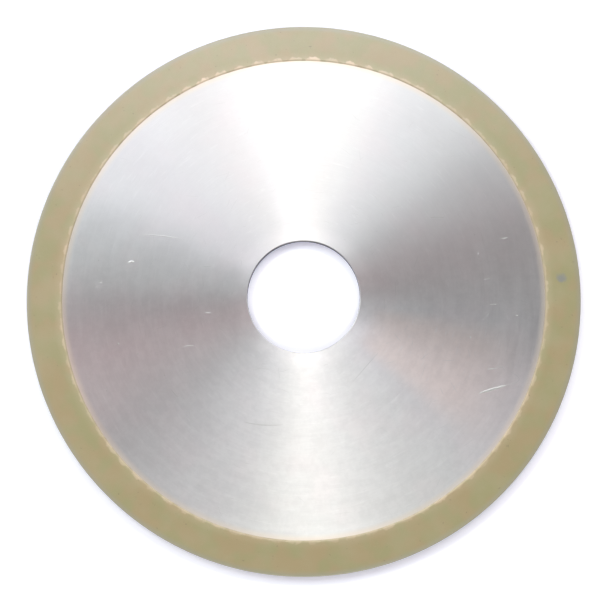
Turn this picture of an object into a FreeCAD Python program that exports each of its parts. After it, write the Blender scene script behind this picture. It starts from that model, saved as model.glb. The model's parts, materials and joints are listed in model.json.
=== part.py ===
import FreeCAD, Part
import math
import os

import Sketcher

# A cutting disc that lies flat: a notched steel blank with an abrasive rim moulded round it.
# The spin axis is Z, the middle of the thickness is Z = 0, and one notch is centred on +Y.

# Driving dimensions in millimetres, apart from the count and the angle in degrees
SIZES = (
    ("disc_diameter", 125.0, "outside diameter of the abrasive rim"),
    ("rim_width", 8.0, "radial width of the abrasive rim"),
    ("rim_thickness", 2.0, "thickness over the two sides of the rim"),
    ("rim_edge_radius", 0.2, "rounding of the rim's outer edges"),
    ("side_relief", 0.2, "how far each side of the rim stands proud of the blank"),
    ("step_width", 0.3, "radial width of the sloped step from the rim down to the blank"),
    ("bore_diameter", 25.4, "arbor bore"),
    ("bore_chamfer", 0.2, "chamfer at both ends of the bore"),
    ("tooth_count", 80, "keying teeth round the blank's edge"),
    ("tooth_height", 1.35, "height of a tooth above the floor of the notches"),
    ("tooth_root_width", 2.2, "width of a tooth at the floor of the notches"),
    ("tooth_relief", 0.1, "how far each side of a tooth lies below the blank's side"),
    ("notch_flank_angle", 27.0, "angle between a notch's side and its centre line"),
)

# Sizes that follow from the driving ones, as the formulas that sketches and features use
OUTER_RADIUS = "(Sizes.disc_diameter / 2)"
BORE_RADIUS = "(Sizes.bore_diameter / 2)"
CORE_RADIUS = f"({OUTER_RADIUS} - Sizes.rim_width)"
BLANK_RADIUS = f"({CORE_RADIUS} + Sizes.tooth_height)"
CORE_THICKNESS = "(Sizes.rim_thickness - 2 * Sizes.side_relief)"
TOOTH_THICKNESS = f"({CORE_THICKNESS} - 2 * Sizes.tooth_relief)"
NOTCH_FLOOR_WIDTH = f"(2 * pi * {CORE_RADIUS} / Sizes.tooth_count - Sizes.tooth_root_width)"

# A notch is cut to twice the tooth height, so that it runs out clear of the blank's edge
NOTCH_REACH = "(2 * Sizes.tooth_height)"
NOTCH_SPREAD = f"({NOTCH_REACH} * tan(Sizes.notch_flank_angle * 1 deg))"
MOUTH_HEIGHT = f"({CORE_RADIUS} + {NOTCH_REACH})"

# Elements that every sketch has: its origin and its two axes
ORIGIN = (-1, 1)
X_AXIS = -1
Y_AXIS = -2


def make_sizes(document):
    """Sheet of the driving dimensions, one named cell for each."""
    sheet = document.addObject("Spreadsheet::Sheet", "Sizes")
    for row, (name, value, meaning) in enumerate(SIZES, start=1):
        sheet.set(f"A{row}", name)
        sheet.set(f"B{row}", str(value))
        sheet.set(f"C{row}", meaning)
        sheet.setAlias(f"B{row}", name)
    document.recompute()
    return sheet


def make_body(document, name):
    """Empty body whose label names its piece."""
    body = document.addObject("PartDesign::Body", name)
    body.Label = name
    return body


def make_sketch(body, name, plane_role):
    """Empty sketch on one of its body's own origin planes."""
    sketch = body.newObject("Sketcher::SketchObject", name)
    plane = next(item for item in body.Origin.OriginFeatures if item.Role == plane_role)
    sketch.AttachmentSupport = [(plane, "")]
    sketch.MapMode = "FlatFace"
    return sketch


def start(element):
    """Start point of a sketch's line or arc, as constraints take it."""
    return element, 1


def end(element):
    """End point of a sketch's line or arc."""
    return element, 2


def centre(element):
    """Centre of a sketch's circle or arc."""
    return element, 3


def add_line(sketch, first, second):
    """Line between two points, each given as its two coordinates."""
    line = Part.LineSegment(FreeCAD.Vector(*first), FreeCAD.Vector(*second))
    return sketch.addGeometry(line, False)


def join(sketch, first, second):
    """Makes two points of the sketch one."""
    sketch.addConstraint(Sketcher.Constraint("Coincident", *first, *second))


def mirror(sketch, first, second, axis):
    """Keeps two points of the sketch at the same distance on both sides of an axis."""
    sketch.addConstraint(Sketcher.Constraint("Symmetric", *first, *second, axis))


def measure(sketch, kind, first, second, name, formula):
    """Distance between two points of the sketch, driven by a formula of the sheet's sizes."""
    offset = sketch.getPoint(*second) - sketch.getPoint(*first)
    distance = offset.x if kind == "DistanceX" else offset.y
    index = sketch.addConstraint(Sketcher.Constraint(kind, *first, *second, distance))
    sketch.renameConstraint(index, name)
    sketch.setExpression(f"Constraints.{name}", formula)


def add_circle(sketch, radius, name, formula):
    """Circle about the origin, with its radius driven by a formula of the sheet's sizes."""
    circle = Part.Circle(FreeCAD.Vector(0, 0, 0), FreeCAD.Vector(0, 0, 1), radius)
    element = sketch.addGeometry(circle, False)
    join(sketch, centre(element), ORIGIN)
    set_radius(sketch, element, radius, name, formula)


def set_radius(sketch, element, radius, name, formula):
    """Radius of a circle or an arc, driven by a formula of the sheet's sizes."""
    index = sketch.addConstraint(Sketcher.Constraint("Radius", element, radius))
    sketch.renameConstraint(index, name)
    sketch.setExpression(f"Constraints.{name}", formula)


def round_edges(shape, radius):
    """Names of the shape's circular edges that have a given radius."""
    names = []
    for number, edge in enumerate(shape.Edges, start=1):
        if isinstance(edge.Curve, Part.Circle) and math.isclose(edge.Curve.Radius, radius):
            names.append(f"Edge{number}")
    return names


def pad_washer(body, sheet, name, radius, radius_formula, thickness_formula):
    """Flat washer about the arbor bore, half above and half below the middle plane."""
    sketch = make_sketch(body, f"{name}_outline", "XY_Plane")
    add_circle(sketch, radius, "edge_radius", radius_formula)
    add_circle(sketch, sheet.bore_diameter / 2, "bore_radius", BORE_RADIUS)
    washer = body.newObject("PartDesign::Pad", name)
    washer.Profile = sketch
    washer.SideType = "Symmetric"
    washer.setExpression("Length", thickness_formula)


def draw_notch(body, sheet):
    """Outline of one notch: a floor along the core's edge circle and two flanks that open outwards."""
    sketch = make_sketch(body, "notch_outline", "XY_Plane")
    core_radius = sheet.disc_diameter / 2 - sheet.rim_width
    mouth_height = core_radius + 2 * sheet.tooth_height
    rough_floor = sheet.tooth_root_width / 2
    rough_mouth = sheet.tooth_root_width
    half_angle = rough_floor / core_radius
    circle = Part.Circle(FreeCAD.Vector(0, 0, 0), FreeCAD.Vector(0, 0, 1), core_radius)
    floor_arc = Part.ArcOfCircle(circle, math.pi / 2 - half_angle, math.pi / 2 + half_angle)
    floor = sketch.addGeometry(floor_arc, False)
    left_flank = add_line(sketch, (-rough_floor, core_radius), (-rough_mouth, mouth_height))
    mouth = add_line(sketch, (-rough_mouth, mouth_height), (rough_mouth, mouth_height))
    right_flank = add_line(sketch, (rough_mouth, mouth_height), (rough_floor, core_radius))

    join(sketch, centre(floor), ORIGIN)
    join(sketch, end(floor), start(left_flank))
    join(sketch, end(left_flank), start(mouth))
    join(sketch, end(mouth), start(right_flank))
    join(sketch, end(right_flank), start(floor))
    mirror(sketch, start(mouth), end(mouth), Y_AXIS)
    sketch.addConstraint(Sketcher.Constraint("Horizontal", *start(floor), *end(floor)))

    set_radius(sketch, floor, core_radius, "floor_radius", CORE_RADIUS)
    measure(sketch, "DistanceX", end(floor), start(floor), "floor_width", NOTCH_FLOOR_WIDTH)
    measure(sketch, "DistanceX", start(mouth), start(left_flank), "spread", NOTCH_SPREAD)
    measure(sketch, "DistanceY", ORIGIN, start(mouth), "mouth_height", MOUTH_HEIGHT)
    return sketch


def draw_ring_section(body, sheet):
    """Half section of the rim: a rectangle whose inner corners slope down to the blank."""
    sketch = make_sketch(body, "ring_section", "XZ_Plane")
    inner = sheet.disc_diameter / 2 - sheet.rim_width
    step = inner + sheet.step_width
    outer = sheet.disc_diameter / 2
    side = sheet.rim_thickness / 2
    seat = side - sheet.side_relief
    corners = (
        (inner, -seat),
        (inner, seat),
        (step, side),
        (outer, side),
        (outer, -side),
        (step, -side),
    )
    lines = []
    for number, corner in enumerate(corners):
        lines.append(add_line(sketch, corner, corners[(number + 1) % len(corners)]))
    for number, line in enumerate(lines):
        join(sketch, end(line), start(lines[(number + 1) % len(lines)]))
    seat_wall, upper_step, upper_side, outer_wall, lower_side, lower_step = lines

    mirror(sketch, start(seat_wall), end(seat_wall), X_AXIS)
    mirror(sketch, end(upper_step), start(lower_step), X_AXIS)
    mirror(sketch, start(outer_wall), end(outer_wall), X_AXIS)
    sketch.addConstraint(Sketcher.Constraint("Horizontal", upper_side))

    measure(sketch, "DistanceX", ORIGIN, end(seat_wall), "seat_radius", CORE_RADIUS)
    measure(sketch, "DistanceY", start(seat_wall), end(seat_wall), "seat_height", CORE_THICKNESS)
    measure(sketch, "DistanceX", end(seat_wall), end(upper_step), "step", "Sizes.step_width")
    measure(sketch, "DistanceX", ORIGIN, start(outer_wall), "outer_radius", OUTER_RADIUS)
    measure(sketch, "DistanceY", end(outer_wall), start(outer_wall), "width", "Sizes.rim_thickness")
    return sketch


def make_steel_core(document, sheet):
    """Flat steel blank with a chamfered bore, whose thinned edge is notched to leave the teeth."""
    body = make_body(document, "steel_core")
    core_radius = sheet.disc_diameter / 2 - sheet.rim_width
    blank_radius = core_radius + sheet.tooth_height
    pad_washer(body, sheet, "thinned_edge", blank_radius, BLANK_RADIUS, TOOTH_THICKNESS)
    pad_washer(body, sheet, "ground_plate", core_radius, CORE_RADIUS, CORE_THICKNESS)

    notch_outline = draw_notch(body, sheet)
    notch = body.newObject("PartDesign::Pocket", "notch")
    notch.Profile = notch_outline
    notch.SideType = "Symmetric"
    notch.Type = "ThroughAll"
    document.recompute()

    notches = body.newObject("PartDesign::PolarPattern", "notches")
    notches.Originals = [notch]
    notches.Axis = (notch_outline, ["N_Axis"])
    notches.Angle = 360
    notches.setExpression("Occurrences", "Sizes.tooth_count")
    body.Tip = notches
    document.recompute()

    bore_edges = body.newObject("PartDesign::Chamfer", "bore_edges")
    bore_edges.Base = (notches, round_edges(notches.Shape, sheet.bore_diameter / 2))
    bore_edges.setExpression("Size", "Sizes.bore_chamfer")
    body.Tip = bore_edges
    document.recompute()
    return body


def make_diamond_rim(document, sheet, steel_core):
    """Abrasive ring moulded over the blank's teeth, so it has their exact shape inside."""
    body = make_body(document, "rim_ring")

    ring = body.newObject("PartDesign::Revolution", "ring")
    section = draw_ring_section(body, sheet)
    ring.Profile = section
    ring.ReferenceAxis = (section, ["V_Axis"])
    ring.Angle = 360
    document.recompute()

    outer_edges = body.newObject("PartDesign::Fillet", "outer_edges")
    outer_edges.Base = (ring, round_edges(ring.Shape, sheet.disc_diameter / 2))
    outer_edges.setExpression("Radius", "Sizes.rim_edge_radius")
    body.Tip = outer_edges
    document.recompute()

    rim = document.addObject("Part::Cut", "diamond_rim")
    rim.Label = "diamond_rim"
    rim.Base = body
    rim.Tool = steel_core
    document.recompute()
    return rim


def check_model(document, pieces):
    """Stops if anything failed to build, or if a cut took nothing away."""
    for item in document.Objects:
        if "Invalid" in item.State or "Error" in item.State:
            raise RuntimeError(f"{item.Name} failed: {item.State}")
    for piece in pieces:
        if piece.Shape.isNull() or not piece.Shape.isValid() or len(piece.Shape.Solids) != 1:
            raise RuntimeError(f"{piece.Label} isn't one valid solid")
    cuts = (
        ("ground_plate", "notches"),
        ("notches", "bore_edges"),
        ("ring", "outer_edges"),
        ("rim_ring", "diamond_rim"),
    )
    for before, after in cuts:
        if document.getObject(after).Shape.Volume >= document.getObject(before).Shape.Volume:
            raise RuntimeError(f"{after} takes nothing away from {before}")


def main():
    document = FreeCAD.newDocument("cutting_disc")
    sheet = make_sizes(document)
    steel_core = make_steel_core(document, sheet)
    diamond_rim = make_diamond_rim(document, sheet, steel_core)
    pieces = (steel_core, diamond_rim)
    document.recompute()
    check_model(document, pieces)

    os.makedirs("parts", exist_ok=True)
    for piece in pieces:
        piece.Shape.exportStep(f"parts/{piece.Label}.step")
        print(f"{piece.Label}: {piece.Shape.Volume:.2f} mm3, {len(piece.Shape.Faces)} faces")


main()
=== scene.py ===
"""Looks of a flat cutting disc: a ground steel blank inside a moulded resin-bond rim."""

import json
import math
import random

import bpy
from mathutils import Matrix, Vector, noise


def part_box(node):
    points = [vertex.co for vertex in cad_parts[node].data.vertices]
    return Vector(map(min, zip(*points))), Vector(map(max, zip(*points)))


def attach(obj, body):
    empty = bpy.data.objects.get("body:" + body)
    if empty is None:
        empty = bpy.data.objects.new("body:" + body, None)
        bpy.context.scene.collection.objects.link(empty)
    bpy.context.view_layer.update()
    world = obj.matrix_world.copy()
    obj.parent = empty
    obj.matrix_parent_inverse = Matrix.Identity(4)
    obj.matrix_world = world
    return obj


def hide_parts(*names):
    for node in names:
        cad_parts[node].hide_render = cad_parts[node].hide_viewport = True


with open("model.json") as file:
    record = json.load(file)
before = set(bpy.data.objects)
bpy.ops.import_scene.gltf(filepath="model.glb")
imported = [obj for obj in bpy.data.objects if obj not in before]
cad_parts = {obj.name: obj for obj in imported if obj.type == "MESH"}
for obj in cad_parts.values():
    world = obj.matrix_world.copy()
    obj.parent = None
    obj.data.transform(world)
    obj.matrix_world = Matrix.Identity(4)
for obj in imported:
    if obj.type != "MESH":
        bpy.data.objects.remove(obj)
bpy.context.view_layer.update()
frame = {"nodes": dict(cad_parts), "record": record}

MM = 0.001
UP = Vector((0, 0, 1))

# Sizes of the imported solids
OUTER_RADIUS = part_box("diamond_rim")[1].x
RIM_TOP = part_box("diamond_rim")[1].z
PLATE_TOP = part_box("steel_core")[1].z
FLOOR_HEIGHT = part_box("diamond_rim")[0].z
BORE = next(mount for mount in frame["record"]["mounts"] if mount["name"] == "arbor_bore")
BORE_RADIUS = BORE["dims"]["r_mm"] * MM

# Sizes of the rim's section and of the teeth under it
RIM_WIDTH = 8 * MM
BLANK_RADIUS = OUTER_RADIUS - RIM_WIDTH
STEP_WIDTH = 0.3 * MM
EDGE_RADIUS = 0.2 * MM
TOOTH_COUNT = 80
TOOTH_PITCH = math.tau / TOOTH_COUNT
TOOTH_HEIGHT = 1.35 * MM
TOOTH_TOP = 0.7 * MM
TOOTH_ROOT = 2.2 * MM
TOOTH_TIP = 0.82 * MM

# How the resin differs from a perfect ring
SEGMENTS_PER_TOOTH = 18
EDGE_STEPS = 5
TOP_RINGS = 14
TOP_CROWDING = 1.6
KEY_GAP = 0.02 * MM
FLASH_WIDTH = 0.06 * MM
FLASH_HEIGHT = 0.003 * MM
FLASH_GRAIN = 30
SKIN_SINK = 0.025 * MM
SKIN_END = 1.7 * MM
WAVE_DEPTH = 0.006 * MM
WAVE_GRAIN = 900
EDGE_WEAR = 0.03 * MM
EDGE_WEAR_GRAIN = 40

# The pale marks of the teeth: half their width as a share of the pitch, their reach and clearest side
MARK_HALF_WIDTH = 0.41
MARK_REACH = 0.9 * MM
MARKS_CLEAREST = (-0.17, 0.985, 0.0)

# Grinding of the steel: width across in metres and length along in radians of its lines, bands and ticks
LINES = (0.22 * MM, 0.35)
BANDS = (1.3 * MM, 0.22)
TICKS = (0.5 * MM, 0.10)
GRINDING_DEPTH = 0.0022 * MM
STEEL_ROUGHNESS = (0.34, 0.36)

# Zones of the steel: a ring at the bore lightened as a painted highlight, a painted brightening that
# fades out from the bore, the film of resin
HIGHLIGHT_RING_WIDTH = 5.0 * MM
BRIGHTENING_RADIUS = 34 * MM
PAINTED_BRIGHTENING = 0.06
FILM_WIDTH = 1.6 * MM
FILM_COVER = 0.9
FILM_DULLING = 0.25

# Wear of the steel, a painted warm reflection and a painted shadow in the bore's chamfer, each with its
# side, and the cosines that bound the reflection's sector
WEAR_CONTRAST = 0.045
# the side towards which the wear's contrast is painted stronger, as painted shading
PAINTED_CONTRAST_SIDE = (0.0, -1.0, 0.0)
REFLECTION_SIDE = (0.906, -0.423, 0.0)
REFLECTION_SECTOR = (0.945, 0.992)
REFLECTION_FADE = 38 * MM
BORE_SHADOW_SIDE = (-0.3, 0.954, 0.0)

# Grain of the noise in the materials, in cells per metre
CLOUD_GRAIN = 55.0
STEEL_TINT_GRAIN = 90.0
WORN_GRAIN = 600.0
SCRATCH_GRAIN = 2500.0
PATCH_GRAIN = 160.0
RESIN_TINT_GRAIN = 210.0
SPECK_GRAIN = 1500.0
GRIT_GRAIN = 4200.0
BLUR_GRAIN = 900.0

# Roughness of the scratches and the resin, and the resin's surface
SCRATCH_ROUGHNESS = (0.36, 0.48)
RESIN_ROUGHNESS = (0.28, 0.33)
SLOPE_ROUGHNESS = 0.65
RESIN_IOR = 1.6
RESIN_BUMP = 0.006 * MM

# The stain on the rim
STAIN_PLACE = (58.2 * MM, 4.2 * MM, RIM_TOP)
STAIN_RADIUS = 1.4 * MM

# Colours of the steel
DARK_LINE = (0.742, 0.742, 0.742, 1)
PALE_LINE = (0.758, 0.758, 0.758, 1)
CLOUDED = (0.70, 0.69, 0.69, 1)
ROSY = (0.765, 0.735, 0.740, 1)
# painted warm reflection
PAINTED_WARM_REFLECTION = (0.82, 0.745, 0.71, 1)
TICKED = (0.84, 0.84, 0.84, 1)
# painted highlight of the ring at the bore
PAINTED_RING_HIGHLIGHT = (0.83, 0.82, 0.82, 1)
FILMED = (0.80, 0.72, 0.64, 1)
# painted shade of the bore's wall and chamfer
BORE_SHADE = (0.10, 0.10, 0.11, 1)
DARK_SCRATCH = (0.60, 0.60, 0.59, 1)
PALE_SCRATCH = (0.72, 0.72, 0.71, 1)

# Colours of the resin
BROWN_RESIN = (0.382, 0.298, 0.162, 1)
OLIVE_RESIN = (0.338, 0.308, 0.156, 1)
PALE_RESIN = (0.387, 0.336, 0.197, 1)
GRIT = (0.56, 0.50, 0.37, 1)
SPECK = (0.12, 0.10, 0.07, 1)
CREAM = (0.76, 0.65, 0.49, 1)
ROSY_CREAM = (0.80, 0.60, 0.46, 1)
# painted shade of the step's slope
PAINTED_STEP_SHADE = (0.36, 0.28, 0.19, 1)
WORN_EDGE = (0.335, 0.315, 0.235, 1)
STAINED = (0.22, 0.235, 0.26, 1)

# Camera, fitted to the photo's view of the rim and the bore
CAMERA_TILT = math.radians(6.88)
CAMERA_DISTANCE = 0.3883
CAMERA_AIM = Vector((-0.82 * MM, -0.76 * MM, RIM_TOP))
CAMERA_LENS = 103.32
CAMERA_SENSOR = 36

# Studio: a pale floor that turns up at its edge, and soft lamps on a dome
FLOOR_RADIUS = 1.5
FLOOR_RINGS = (0.1, 0.4, FLOOR_RADIUS)
FLOOR_TURN_UP = 0.5
FLOOR_TURN_STEPS = 12
FLOOR_SEGMENTS = 96
FLOOR_COLOUR = (0.94, 0.94, 0.94, 1)
FLOOR_LIFT = 0.23
FLOOR_LIFT_COLOUR = (0.56, 0.56, 1, 1)
ROOM_COLOUR = (0.107, 0.089, 0.103, 1)
LAMP_DISTANCE = 1.0

# Name, height above the horizon and clock angle from +Y in degrees, width and height in metres,
# watts, and colour
LAMPS = (
    ("lamp_left", 40, 295, 0.42, 0.25, 2.5, (0.9, 1, 0.97)),
    ("lamp_left_front", 40, 318, 0.3, 0.25, 1.35, (0.93, 1, 0.86)),
    ("lamp_front_left", 40, 340, 0.3, 0.25, 0.75, (0.82, 1, 0.82)),
    ("lamp_front", 40, 4, 0.35, 0.25, 1.95, (0.97, 0.93, 0.8)),
    ("lamp_right_front", 40, 27, 0.3, 0.25, 1.17, (0.93, 0.82, 0.84)),
    ("lamp_right", 40, 46, 0.3, 0.25, 1.08, (0.95, 1, 0.99)),
    ("lamp_right_side", 40, 70, 0.33, 0.25, 0.38, (0.85, 1, 0.87)),
    ("lamp_right_low", 50, 111, 0.3, 0.25, 0.33, (1, 0.78, 0.78)),
    ("lamp_side", 45, 82, 0.26, 0.25, 0.13, (0.91, 1, 0.91)),
    ("lamp_back", 40, 180, 0.35, 0.25, 2.5, (0.95, 1, 0.88)),
    ("lamp_back_steep", 50, 170, 0.4, 0.2, 0.75, (0.98, 0.96, 0.91)),
    ("lamp_back_narrow", 40, 177, 0.09, 0.25, 0.2, (0.99, 0.97, 0.92)),
    ("lamp_left_low", 61, 266, 0.22, 0.2, 0.44, (1, 0.76, 0.76)),
    ("lamp_back_left", 61, 205, 0.3, 0.2, 0.14, (0.82, 1, 0.82)),
    ("lamp_high_left", 61, 322, 0.22, 0.2, 0.57, (0.7, 0.7, 0.88)),
    ("lamp_high_right", 64, 20, 0.22, 0.2, 0.48, (0.82, 1, 0.98)),
    ("lamp_high_back", 70, 145, 0.3, 0.2, 0.31, (0.85, 1, 0.82)),
    ("lamp_high_back_left", 72, 235, 0.3, 0.2, 0.11, (0.97, 0.92, 0.79)),
    ("lamp_strip_left", 70, 346, 0.1, 0.13, 0.41, (0.96, 0.89, 0.91)),
    ("lamp_strip_right", 71, 8, 0.08, 0.1, 0.19, (0.85, 0.75, 0.9)),
    ("lamp_strip_low", 60, 352, 0.07, 0.2, 0.22, (0.7, 0.7, 0.88)),
)

# Scratches on the steel: three points in millimetres from the disc's centre, and a width
SCRATCHES = (
    (((39.2, -21.8), (42.2, -20.9), (45.3, -20.0)), 0.36),
    (((45.2, -20.0), (48.3, -18.8), (46.2, -16.9)), 0.08),
    (((41.4, -16.4), (42.2, -16.3), (43.2, -16.2)), 0.15),
    (((43.0, -16.2), (44.4, -15.9), (45.2, -17.0)), 0.07),
    (((-36.4, 14.1), (-32.0, 13.9), (-27.6, 13.1)), 0.16),
    (((-39.7, 7.7), (-39.0, 8.0), (-38.3, 7.9)), 0.4),
    (((-47.7, 2.3), (-45.9, 2.3), (-43.8, 2.3)), 0.06),
    (((-47.4, 3.2), (-45.5, 3.2), (-43.2, 3.2)), 0.05),
    (((-45.6, 3.8), (-45.6, 3.3), (-45.6, 2.8)), 0.1),
    (((-22.6, 6.9), (-22.0, 6.9), (-20.9, 7.0)), 0.14),
    (((-22.5, -3.5), (-21.7, -3.6), (-20.6, -3.6)), 0.14),
    (((-27.1, -11.3), (-25.9, -11.1), (-24.7, -11.1)), 0.14),
    (((-29.7, -21.0), (-28.9, -21.9), (-28.1, -22.7)), 0.15),
    (((-13.4, -28.2), (-9.0, -28.9), (-4.6, -28.8)), 0.22),
    (((10.9, -19.4), (13.8, -16.0), (16.8, -12.6)), 0.1),
    (((28.7, 18.1), (30.3, 18.2), (31.9, 18.1)), 0.14),
    (((44.4, 13.4), (45.5, 13.3), (46.4, 13.7)), 0.13),
    (((40.5, 3.9), (41.5, 4.0), (42.4, 4.1)), 0.08),
    (((41.9, -1.8), (42.8, -1.7), (43.7, -1.7)), 0.13),
    (((47.5, -4.3), (47.9, -4.3), (48.4, -4.3)), 0.1),
    (((39.5, 10.3), (39.5, 9.6), (39.5, 8.9)), 0.1),
    (((38.7, 14.4), (38.7, 14.2), (38.7, 14.0)), 0.14),
    (((37.5, -8.9), (37.5, -9.2), (37.5, -9.5)), 0.16),
    (((-46.4, 8.5), (-46.4, 8.3), (-46.4, 8.1)), 0.16),
    (((-41.8, -10.4), (-41.7, -10.6), (-41.6, -10.9)), 0.4),
    (((-37.3, -12.7), (-37.2, -12.9), (-37.1, -13.0)), 0.32),
    (((-31.4, -17.7), (-31.2, -17.7), (-31.0, -17.8)), 0.22),
    (((-44.3, -21.2), (-44.2, -21.2), (-44.0, -21.3)), 0.18),
)

# Their burrs: the slope of the sides, the steps along each, and how much wider than the scratch it is
SCRATCH_SLOPE = 0.25
SCRATCH_STEPS = 12
SCRATCH_WIDEN = 1.3

# Hair scratches from handling: in millimetres their radii, lengths and width, and in radians their turn
HAIR_COUNT = 150
HAIR_SEED = 7
HAIR_RADII = (16, 53)
HAIR_LENGTHS = (0.5, 3.5)
HAIR_WIDTH = 0.055
HAIR_TURN = 0.6
HAIR_BOW = 0.1


# Shapes

def smooth_step(low, high, value):
    """Rises smoothly from 0 at low to 1 at high."""
    share = min(1.0, max(0.0, (value - low) / (high - low)))
    return share * share * (3 - 2 * share)


def rough(x, y, z):
    """Even noise between 0 and 1 that is the same in each run."""
    return 0.5 + 0.5 * noise.noise(Vector((x, y, z)))


def across_tooth(angle):
    """Distance along the rim from the middle of the nearest tooth."""
    phase = (angle / TOOTH_PITCH) % 1
    return abs(phase - 0.5) * TOOTH_PITCH * BLANK_RADIUS


def tooth_reach(angle):
    """How far the steel tooth under the resin reaches at this angle."""
    flank = (TOOTH_ROOT / 2 - across_tooth(angle)) / (TOOTH_ROOT / 2 - TOOTH_TIP / 2)
    return TOOTH_HEIGHT * min(1.0, max(0.0, flank))


def ring_mesh(name, section, count):
    """Sweeps a closed section round the spin axis. At each angle it is a list of radius and height."""
    vertices = []
    faces = []
    for step in range(count):
        angle = math.tau * step / count
        points = section(angle)
        size = len(points)
        for radius, height in points:
            vertices.append((radius * math.cos(angle), radius * math.sin(angle), height))
        here = step * size
        there = ((step + 1) % count) * size
        for k in range(size):
            after = (k + 1) % size
            faces.append((here + k, there + k, there + after, here + after))
    return mesh_object(name, vertices, faces)


def mesh_object(name, vertices, faces):
    """A mesh in the scene with smooth faces and sharp corners."""
    mesh = bpy.data.meshes.new(name)
    mesh.from_pydata(vertices, [], faces)
    mesh.polygons.foreach_set("use_smooth", [True] * len(mesh.polygons))
    mesh.set_sharp_from_angle(angle=math.radians(40))
    piece = bpy.data.objects.new(name, mesh)
    bpy.context.scene.collection.objects.link(piece)
    return piece


def rounded_edge(outer):
    """The rounded edge between the rim's outer wall and its face."""
    points = []
    for step in range(EDGE_STEPS + 1):
        turn = math.pi / 2 * step / EDGE_STEPS
        points.append((
            outer - EDGE_RADIUS * (1 - math.cos(turn)),
            RIM_TOP - EDGE_RADIUS * (1 - math.sin(turn)),
        ))
    return points


def rim_face(angle, start):
    """The rim's face from its edge to the step, with the skin sunk between the teeth."""
    ahead = WAVE_GRAIN * math.cos(angle)
    side = WAVE_GRAIN * math.sin(angle)
    end = BLANK_RADIUS + STEP_WIDTH
    between_teeth = smooth_step(0.25 * TOOTH_ROOT, 0.6 * TOOTH_ROOT, across_tooth(angle))
    points = []
    for ring in range(1, TOP_RINGS + 1):
        share = 1 - (1 - ring / TOP_RINGS) ** TOP_CROWDING
        radius = start + (end - start) * share
        skin = 1 - smooth_step(0.6 * SKIN_END, SKIN_END, radius - BLANK_RADIUS)
        sink = SKIN_SINK * skin * between_teeth
        wave = WAVE_DEPTH * rough(radius * ahead, radius * side, 1)
        points.append((radius, RIM_TOP - sink - wave))
    return points


def step_and_key(angle, step_height):
    """The slope down to the steel, the flash on it, and the hidden wall that holds the teeth."""
    flash = rough(FLASH_GRAIN * math.cos(angle), FLASH_GRAIN * math.sin(angle), 0)
    foot = BLANK_RADIUS - FLASH_WIDTH * flash ** 2
    key = BLANK_RADIUS + max(KEY_GAP, tooth_reach(angle))
    return [
        (BLANK_RADIUS + 0.6 * STEP_WIDTH, PLATE_TOP + 0.8 * step_height),
        (BLANK_RADIUS + 0.25 * STEP_WIDTH, PLATE_TOP + 0.4 * step_height),
        (foot, PLATE_TOP + 2 * FLASH_HEIGHT),
        (foot, PLATE_TOP + FLASH_HEIGHT),
        (BLANK_RADIUS, PLATE_TOP + FLASH_HEIGHT),
        (BLANK_RADIUS, TOOTH_TOP),
        (key, TOOTH_TOP),
        (key, 0.0),
    ]


def rim_section(angle):
    """The moulded rim's cut face: outer wall, edge, face, step and key, and the same underneath."""
    wear = rough(EDGE_WEAR_GRAIN * math.cos(angle), EDGE_WEAR_GRAIN * math.sin(angle), 3)
    outer = OUTER_RADIUS - EDGE_WEAR * wear
    upper = [(outer, 0.0), (outer, 0.5 * PLATE_TOP)]
    upper += rounded_edge(outer)
    upper += rim_face(angle, outer - EDGE_RADIUS)
    upper += step_and_key(angle, upper[-1][1] - PLATE_TOP)
    lower = [(radius, -height) for radius, height in reversed(upper[1:-1])]
    return upper + lower


def make_rim():
    """The resin-bond rim, which stands for the plain ring of the frame."""
    rim = ring_mesh("moulded_rim", rim_section, TOOTH_COUNT * SEGMENTS_PER_TOOTH)
    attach(rim, "root")
    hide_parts("diamond_rim")
    return rim


def curve_point(points, share):
    """A point on the smooth arc through three points."""
    first, middle, last = points
    bend = middle - (first + last) / 2
    return first.lerp(last, share) + bend * 4 * share * (1 - share)


def add_ridge(vertices, faces, points, width):
    """One scratch's burr: a low ridge with a pointed section that thins out to both ends."""
    base = len(vertices)
    for step in range(SCRATCH_STEPS + 1):
        share = step / SCRATCH_STEPS
        here = curve_point(points, share)
        ahead = curve_point(points, min(1, share + 0.02)) - curve_point(points, max(0, share - 0.02))
        side = UP.cross(ahead.normalized())
        thin = 0.1 + 0.9 * math.sin(math.pi * share) ** 0.5 if 0 < share < 1 else 0.1
        half = side * (width / 2 * thin)
        crest = here + UP * (SCRATCH_SLOPE * width / 2 * thin)
        vertices.extend((here - half, crest, here + half))
    for step in range(SCRATCH_STEPS):
        a = base + 3 * step
        b = a + 3
        faces.append((a, a + 1, b + 1, b))
        faces.append((a + 1, a + 2, b + 2, b + 1))
        faces.append((a + 2, a, b, b + 2))
    last = base + 3 * SCRATCH_STEPS
    faces.append((base, base + 2, base + 1))
    faces.append((last, last + 1, last + 2))


def on_plate(x, y):
    """A point on the steel's upper face, from millimetres."""
    return Vector((x * MM, y * MM, PLATE_TOP))


def make_scratches():
    """The scratches of the photo, and hair scratches from handling."""
    vertices = []
    faces = []
    for marks, width in SCRATCHES:
        add_ridge(vertices, faces, [on_plate(x, y) for x, y in marks], width * SCRATCH_WIDEN * MM)
    draw = random.Random(HAIR_SEED)
    for _ in range(HAIR_COUNT):
        radius = draw.uniform(*HAIR_RADII)
        angle = draw.uniform(0, math.tau)
        heading = draw.gauss(angle + math.pi / 2, HAIR_TURN)
        length = draw.uniform(*HAIR_LENGTHS)
        middle = Vector((radius * math.cos(angle), radius * math.sin(angle)))
        half = Vector((math.cos(heading), math.sin(heading))) * length / 2
        bow = Vector((-half.y, half.x)) * draw.uniform(-HAIR_BOW, HAIR_BOW)
        points = [on_plate(*p) for p in (middle - half, middle + bow, middle + half)]
        add_ridge(vertices, faces, points, HAIR_WIDTH * MM)
    scratches = mesh_object("scratches", vertices, faces)
    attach(scratches, "root")
    return scratches


# Materials

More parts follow.
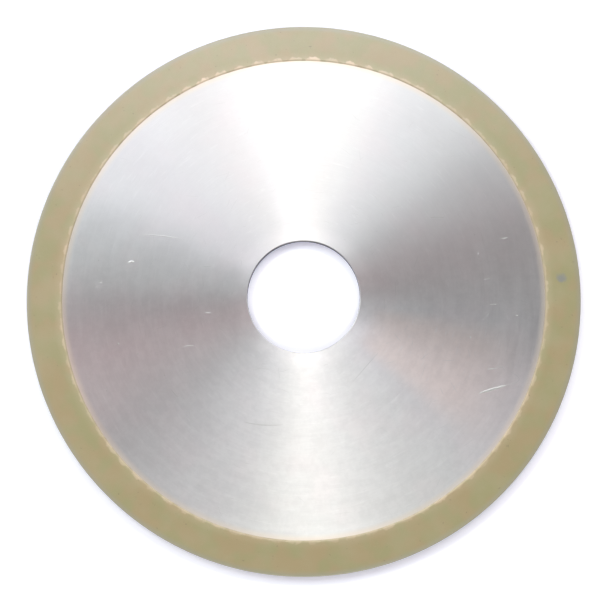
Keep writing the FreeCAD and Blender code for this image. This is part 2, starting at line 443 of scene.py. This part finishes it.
class Nodes:
    """A material's nodes, with short calls that add and join them."""

    def __init__(self, name):
        self.material = bpy.data.materials.new(name)
        self.material.use_nodes = True
        self.tree = self.material.node_tree
        self.shader = self.tree.nodes["Principled BSDF"]

    def feed(self, socket, value):
        """Joins a socket to another node's output, or sets its value."""
        if isinstance(value, bpy.types.NodeSocket):
            self.tree.links.new(value, socket)
        else:
            socket.default_value = value

    def add(self, kind, inputs=(), **settings):
        """Adds a node, with its inputs in their order."""
        node = self.tree.nodes.new(kind)
        for name, value in settings.items():
            setattr(node, name, value)
        for number, value in enumerate(inputs):
            if value is not None:
                self.feed(node.inputs[number], value)
        return node

    def math(self, operation, *values):
        return self.add("ShaderNodeMath", values, operation=operation).outputs[0]

    def vector(self, operation, *values):
        return self.add("ShaderNodeVectorMath", values, operation=operation).outputs[0]

    def dot(self, vector, other):
        node = self.add("ShaderNodeVectorMath", (vector, other), operation="DOT_PRODUCT")
        return node.outputs["Value"]

    def scaled(self, vector, factor):
        node = self.add("ShaderNodeVectorMath", (vector,), operation="SCALE")
        self.feed(node.inputs["Scale"], factor)
        return node.outputs[0]

    def noise(self, vector, scale, detail=2.0, roughness=0.5):
        node = self.add("ShaderNodeTexNoise", (vector,))
        node.inputs["Scale"].default_value = scale
        node.inputs["Detail"].default_value = detail
        node.inputs["Roughness"].default_value = roughness
        return node.outputs["Fac"]

    def rise(self, value, low, high, bottom=0.0, top=1.0):
        """Rises smoothly from bottom to top while the value goes from low to high."""
        node = self.add("ShaderNodeMapRange", interpolation_type="SMOOTHSTEP")
        self.feed(node.inputs["Value"], value)
        node.inputs["From Min"].default_value = low
        node.inputs["From Max"].default_value = high
        node.inputs["To Min"].default_value = bottom
        node.inputs["To Max"].default_value = top
        return node.outputs["Result"]

    def mix(self, share, first, second):
        """A colour between two colours."""
        node = self.tree.nodes.new("ShaderNodeMix")
        node.data_type = "RGBA"
        self.feed(node.inputs[0], share)
        self.feed(node.inputs[6], first)
        self.feed(node.inputs[7], second)
        return node.outputs[2]

    def bump(self, height, distance):
        node = self.tree.nodes.new("ShaderNodeBump")
        node.inputs["Strength"].default_value = 1.0
        node.inputs["Distance"].default_value = distance
        self.feed(node.inputs["Height"], height)
        return node.outputs["Normal"]

    def set(self, **values):
        """Sets the shader's sockets. An underscore in a name stands for a space."""
        for name, value in values.items():
            self.feed(self.shader.inputs[name.replace("_", " ")], value)


class DiscPlace:
    """Where a point is on the disc: its place, radius, direction from the centre and angle."""

    def __init__(self, nodes):
        self.nodes = nodes
        self.place = nodes.add("ShaderNodeTexCoord").outputs["Object"]
        split = nodes.add("ShaderNodeSeparateXYZ", (self.place,))
        flat = nodes.add("ShaderNodeCombineXYZ", (split.outputs[0], split.outputs[1])).outputs[0]
        length = nodes.add("ShaderNodeVectorMath", (flat,), operation="LENGTH")
        self.radius = length.outputs["Value"]
        self.direction = nodes.vector("NORMALIZE", flat)
        self.angle = nodes.math("ARCTAN2", split.outputs[1], split.outputs[0])

    def ring_noise(self, ring, arc, detail=2.0, roughness=0.5):
        """Noise drawn out along the circle: its grain is ring metres across and arc radians along."""
        across = self.nodes.math("DIVIDE", self.radius, ring)
        along = self.nodes.scaled(self.direction, 1 / arc)
        lift = self.nodes.add("ShaderNodeCombineXYZ", (None, None, across)).outputs[0]
        return self.nodes.noise(self.nodes.vector("ADD", along, lift), 1.0, detail, roughness)


def ground_steel():
    """Bright steel, ground in fine rings: the light fans out across the grinding lines."""
    nodes = Nodes("ground_steel")
    disc = DiscPlace(nodes)
    lines = disc.ring_noise(*LINES, 3.0, 0.6)
    bands = disc.ring_noise(*BANDS, 3.0, 0.6)
    ticks = nodes.rise(disc.ring_noise(*TICKS, 2.0), 0.60, 0.76)
    film = nodes.rise(disc.radius, BLANK_RADIUS - FILM_WIDTH, BLANK_RADIUS)
    tone = steel_tone(nodes, disc, lines, ticks)
    tone = nodes.scaled(tone, steel_wear(nodes, disc, bands))
    tone = nodes.mix(nodes.math("MULTIPLY", film, FILM_COVER), tone, FILMED)
    # painted shade on the bore's wall and a painted shadow in its chamfer
    tone = nodes.mix(painted_bore_shade(nodes, disc), tone, BORE_SHADE)
    height = nodes.math("ADD", nodes.math("MULTIPLY", nodes.math("ADD", lines, ticks), 0.5), bands)
    tangent = nodes.add("ShaderNodeTangent", direction_type="RADIAL", axis="Z").outputs[0]
    nodes.set(
        Base_Color=tone,
        Metallic=nodes.math("SUBTRACT", 1.0, nodes.math("MULTIPLY", film, FILM_DULLING)),
        Roughness=nodes.rise(bands, 0.3, 0.7, *STEEL_ROUGHNESS),
        Anisotropic=0.9,
        Anisotropic_Rotation=0.25,
        Tangent=tangent,
        Normal=nodes.bump(height, GRINDING_DEPTH),
    )
    return nodes.material


def steel_tone(nodes, disc, lines, ticks):
    """The steel's colour before wear and the bore's painted shade."""
    clouds = nodes.noise(disc.place, CLOUD_GRAIN, 3.0, 0.55)
    tint = nodes.noise(disc.place, STEEL_TINT_GRAIN, 2.0)
    # the ring at the bore, lightened as a painted highlight
    ring_highlight = nodes.rise(disc.radius, BORE_RADIUS + 0.2 * MM, BORE_RADIUS + HIGHLIGHT_RING_WIDTH, 1.0, 0.0)
    tone = nodes.mix(nodes.rise(lines, 0.3, 0.7), DARK_LINE, PALE_LINE)
    tone = nodes.mix(nodes.rise(clouds, 0.35, 0.7, 0.0, 0.5), tone, CLOUDED)
    tone = nodes.mix(nodes.rise(tint, 0.45, 0.7, 0.0, 0.6), tone, ROSY)
    # painted warm reflection at one side of the steel
    tone = nodes.mix(painted_warm_reflection(nodes, disc), tone, PAINTED_WARM_REFLECTION)
    tone = nodes.mix(nodes.math("MULTIPLY", ticks, 0.3), tone, TICKED)
    return nodes.mix(ring_highlight, tone, PAINTED_RING_HIGHLIGHT)


def painted_warm_reflection(nodes, disc):
    """Painted reflection: how warm the steel is, a sector at one side that fades at the bore and towards
    the rim.
    """
    warm = nodes.rise(nodes.dot(disc.direction, REFLECTION_SIDE), *REFLECTION_SECTOR)
    warm = nodes.math("MULTIPLY", warm, nodes.rise(disc.radius, BORE_RADIUS, 1.7 * BORE_RADIUS))
    return nodes.math("MULTIPLY", warm, nodes.rise(disc.radius, REFLECTION_FADE, BLANK_RADIUS, 1.0, 0.2))


def steel_wear(nodes, disc, bands):
    """The factor that wear gives to the steel's tone, with a painted brightening towards the bore, and
    painted shading that makes both stronger towards one side.
    """
    worn = nodes.rise(nodes.noise(disc.place, WORN_GRAIN, 3.0, 0.65), 0.35, 0.65)
    wear = nodes.math("ADD", worn, nodes.rise(bands, 0.35, 0.65, 0.0, 0.7))
    wear = nodes.math("MULTIPLY", nodes.math("SUBTRACT", wear, 0.85), WEAR_CONTRAST)
    # painted highlight: brighter at the bore, fading out by the given radius
    inner_brightening = nodes.rise(disc.radius, BORE_RADIUS, BRIGHTENING_RADIUS, PAINTED_BRIGHTENING, 0.0)
    # painted shading: the wear and the brightening show stronger towards one side, where the light
    # brings them out
    side = nodes.rise(nodes.dot(disc.direction, PAINTED_CONTRAST_SIDE), -0.7, 0.1, 0.3, 1.0)
    wear = nodes.math("MULTIPLY", nodes.math("ADD", wear, inner_brightening), side)
    return nodes.math("ADD", wear, 1.0)


def painted_bore_shade(nodes, disc):
    """Painted shade: how dark the bore's wall is, and a painted shadow in its chamfer at one side."""
    wall = nodes.rise(disc.radius, BORE_RADIUS + 0.01 * MM, BORE_RADIUS + 0.03 * MM, 1.0, 0.0)
    chamfer_shadow = nodes.rise(disc.radius, BORE_RADIUS + 0.1 * MM, BORE_RADIUS + 0.25 * MM, 0.8, 0.0)
    side = nodes.rise(nodes.dot(disc.direction, BORE_SHADOW_SIDE), 0.2, 0.9)
    return nodes.math("MAXIMUM", wall, nodes.math("MULTIPLY", chamfer_shadow, side))


def scratch_steel():
    """Bare bright steel of the scratches' burrs."""
    nodes = Nodes("scratched_steel")
    place = nodes.add("ShaderNodeTexCoord").outputs["Object"]
    grain = nodes.noise(place, SCRATCH_GRAIN, 2.0)
    nodes.set(
        Base_Color=nodes.mix(grain, DARK_SCRATCH, PALE_SCRATCH),
        Metallic=1.0,
        Roughness=nodes.rise(grain, 0.3, 0.7, *SCRATCH_ROUGHNESS),
    )
    return nodes.material


def resin_bond():
    """Matte khaki resin full of fine grit, paler where it thins out over the teeth and at the step."""
    nodes = Nodes("resin_bond")
    disc = DiscPlace(nodes)
    patches = nodes.noise(disc.place, PATCH_GRAIN, 3.0, 0.6)
    grit = nodes.noise(disc.place, GRIT_GRAIN, 2.0, 0.7)
    top_side = nodes.dot(disc.direction, MARKS_CLEAREST)
    cream = nodes.mix(nodes.noise(disc.direction, 9.0, 1.0), CREAM, ROSY_CREAM)
    colour = plain_resin(nodes, disc, patches, grit)
    colour = nodes.mix(tooth_marks(nodes, disc, top_side), colour, cream)
    colour = nodes.mix(step_mark(nodes, disc), colour, cream)
    # painted shade on the step's slope
    colour = nodes.mix(painted_step_shade(nodes, disc, top_side), colour, PAINTED_STEP_SHADE)
    edge = nodes.rise(disc.radius, OUTER_RADIUS - 1.5 * MM, OUTER_RADIUS, 0.0, 0.9)
    colour = nodes.mix(edge, colour, WORN_EDGE)
    colour = nodes.mix(stain(nodes, disc), colour, STAINED)
    height = nodes.math("ADD", grit, nodes.math("MULTIPLY", patches, 4.0))
    slope_end = BLANK_RADIUS + STEP_WIDTH
    slope = nodes.rise(disc.radius, slope_end, slope_end + 0.2 * MM, SLOPE_ROUGHNESS, 0.0)
    nodes.set(
        Base_Color=colour,
        Roughness=nodes.math("MAXIMUM", slope, nodes.rise(patches, 0.3, 0.7, *RESIN_ROUGHNESS)),
        IOR=RESIN_IOR,
        Specular_IOR_Level=1.0,
        Normal=nodes.bump(height, RESIN_BUMP),
    )
    return nodes.material


def plain_resin(nodes, disc, patches, grit):
    """The resin's own colour, with its patches, grit and dark specks."""
    tint = nodes.noise(disc.place, RESIN_TINT_GRAIN, 2.0)
    specks = nodes.rise(nodes.noise(disc.place, SPECK_GRAIN, 1.0), 0.73, 0.82)
    colour = nodes.mix(nodes.rise(tint, 0.35, 0.65), BROWN_RESIN, OLIVE_RESIN)
    colour = nodes.mix(nodes.rise(patches, 0.4, 0.7, 0.0, 0.4), colour, PALE_RESIN)
    colour = nodes.mix(nodes.rise(grit, 0.60, 0.72, 0.0, 0.15), colour, GRIT)
    return nodes.mix(nodes.math("MULTIPLY", specks, 0.45), colour, SPECK)


def tooth_marks(nodes, disc, top_side):
    """The pale marks of the teeth under the skin, uneven from tooth to tooth, clearest at one side."""
    turns = nodes.math("DIVIDE", disc.angle, TOOTH_PITCH)
    off_middle = nodes.math("ABSOLUTE", nodes.math("SUBTRACT", nodes.math("FRACT", turns), 0.5))
    across = nodes.math("DIVIDE", off_middle, MARK_HALF_WIDTH)
    out = nodes.math("DIVIDE", nodes.math("SUBTRACT", disc.radius, BLANK_RADIUS), MARK_REACH)
    away = nodes.math("ADD", nodes.math("POWER", across, 2.0), nodes.math("POWER", out, 2.0))
    blur = nodes.rise(nodes.noise(disc.place, BLUR_GRAIN, 1.0), 0.2, 0.8, -0.5, 0.5)
    hump = nodes.rise(nodes.math("ADD", away, blur), 0.3, 1.2, 1.0, 0.0)
    number = nodes.add("ShaderNodeTexWhiteNoise", noise_dimensions="1D")
    nodes.feed(number.inputs["W"], nodes.math("FLOOR", turns))
    own = nodes.rise(number.outputs["Value"], 0.0, 1.0, 0.5, 0.95)
    stretch = nodes.rise(top_side, 0.75, 1.0, 0.42, 0.95)
    return nodes.math("MULTIPLY", hump, nodes.math("MULTIPLY", own, stretch))


def step_mark(nodes, disc):
    """The uneven cream line where the resin thins out on the steel."""
    near = nodes.rise(disc.radius, BLANK_RADIUS + 0.2 * MM, BLANK_RADIUS + 0.9 * MM, 1.0, 0.0)
    uneven = nodes.rise(nodes.noise(disc.direction, 14.0, 3.0), 0.3, 0.7, 0.14, 0.36)
    wide = nodes.rise(disc.radius, BLANK_RADIUS, BLANK_RADIUS + 2.4 * MM, 0.14, 0.0)
    return nodes.math("MAXIMUM", nodes.math("MULTIPLY", near, uneven), wide)


def painted_step_shade(nodes, disc, top_side):
    """Painted shade on the slope of the step, faint where the marks of the teeth are clearest."""
    slope = nodes.rise(disc.radius, BLANK_RADIUS + 0.2 * MM, BLANK_RADIUS + 0.4 * MM, 1.0, 0.0)
    side = nodes.rise(nodes.math("ABSOLUTE", top_side), 0.0, 1.0, 0.65, 0.1)
    return nodes.math("MULTIPLY", slope, side)


def stain(nodes, disc):
    """A small grey stain with an uneven outline."""
    away = nodes.add("ShaderNodeVectorMath", (disc.place, STAIN_PLACE), operation="DISTANCE")
    far = nodes.math("DIVIDE", away.outputs["Value"], STAIN_RADIUS)
    blur = nodes.math("MULTIPLY", nodes.noise(disc.place, BLUR_GRAIN, 2.0), 0.9)
    return nodes.rise(nodes.math("ADD", far, blur), 0.7, 1.5, 0.75, 0.0)


def floor_white():
    """Plain white. What the camera and reflections see of it is lifted, and the shadow stays."""
    nodes = Nodes("floor_white")
    rays = nodes.add("ShaderNodeLightPath").outputs
    seen = nodes.math("MAXIMUM", rays["Is Camera Ray"], rays["Is Glossy Ray"])
    seen = nodes.math("MAXIMUM", seen, rays["Is Transmission Ray"])
    nodes.set(
        Base_Color=FLOOR_COLOUR,
        Roughness=1.0,
        Specular_IOR_Level=0.0,
        Emission_Color=FLOOR_LIFT_COLOUR,
        Emission_Strength=nodes.math("MULTIPLY", seen, FLOOR_LIFT),
    )
    return nodes.material


# Studio

def make_floor():
    """A flat round floor whose edge curves up into a low backdrop."""
    section = [(radius, 0.0) for radius in FLOOR_RINGS]
    for step in range(1, FLOOR_TURN_STEPS + 1):
        turn = math.pi / 2 * step / FLOOR_TURN_STEPS
        section.append((
            FLOOR_RADIUS + FLOOR_TURN_UP * math.sin(turn),
            FLOOR_TURN_UP * (1 - math.cos(turn)),
        ))
    size = len(section)
    vertices = []
    faces = []
    for step in range(FLOOR_SEGMENTS):
        angle = math.tau * step / FLOOR_SEGMENTS
        for radius, height in section:
            vertices.append((radius * math.cos(angle), radius * math.sin(angle), FLOOR_HEIGHT + height))
        here = step * size
        there = ((step + 1) % FLOOR_SEGMENTS) * size
        for k in range(size - 1):
            faces.append((here + k, here + k + 1, there + k + 1, there + k))
    faces.append([step * size for step in range(FLOOR_SEGMENTS)])
    floor = mesh_object("floor", vertices, faces)
    floor.data.materials.append(floor_white())


def make_lamp(name, elevation, clock, width, height, power, colour):
    """A soft lamp on the dome round the disc, turned to its centre."""
    light = bpy.data.lights.new(name, "AREA")
    light.shape = "RECTANGLE"
    light.size = width
    light.size_y = height
    light.energy = power
    light.color = colour
    lamp = bpy.data.objects.new(name, light)
    rise = math.radians(elevation)
    turn = math.radians(clock)
    flat = math.cos(rise)
    direction = Vector((math.sin(turn) * flat, math.cos(turn) * flat, math.sin(rise)))
    lamp.location = direction * LAMP_DISTANCE
    lamp.rotation_euler = (-lamp.location).to_track_quat("-Z", "Y").to_euler()
    lamp.visible_camera = False
    bpy.context.scene.collection.objects.link(lamp)


def make_room():
    """A dim, even room light."""
    world = bpy.data.worlds.new("room")
    world.use_nodes = True
    world.node_tree.nodes["Background"].inputs["Color"].default_value = ROOM_COLOUR
    bpy.context.scene.world = world


def make_camera():
    """The photo's view: from above, tilted a little towards the lower edge, with +Y upright."""
    data = bpy.data.cameras.new("camera")
    data.lens = CAMERA_LENS
    data.sensor_width = CAMERA_SENSOR
    camera = bpy.data.objects.new("camera", data)
    back = Vector((0, -math.sin(CAMERA_TILT), math.cos(CAMERA_TILT)))
    camera.location = UP * RIM_TOP + back * CAMERA_DISTANCE
    ahead = (CAMERA_AIM - camera.location).normalized()
    right = ahead.cross(Vector((0, 1, 0))).normalized()
    camera.rotation_euler = Matrix((right, right.cross(ahead), -ahead)).transposed().to_euler()
    bpy.context.scene.collection.objects.link(camera)
    bpy.context.scene.camera = camera


def dress(piece, material):
    """Gives the piece one material in place of those it has."""
    piece.data.materials.clear()
    piece.data.materials.append(material)


bpy.context.scene.view_settings.view_transform = "Standard"
make_camera()
make_room()
make_floor()
for lamp in LAMPS:
    make_lamp(*lamp)
dress(frame["nodes"]["steel_core"], ground_steel())
dress(make_rim(), resin_bond())
dress(make_scratches(), scratch_steel())
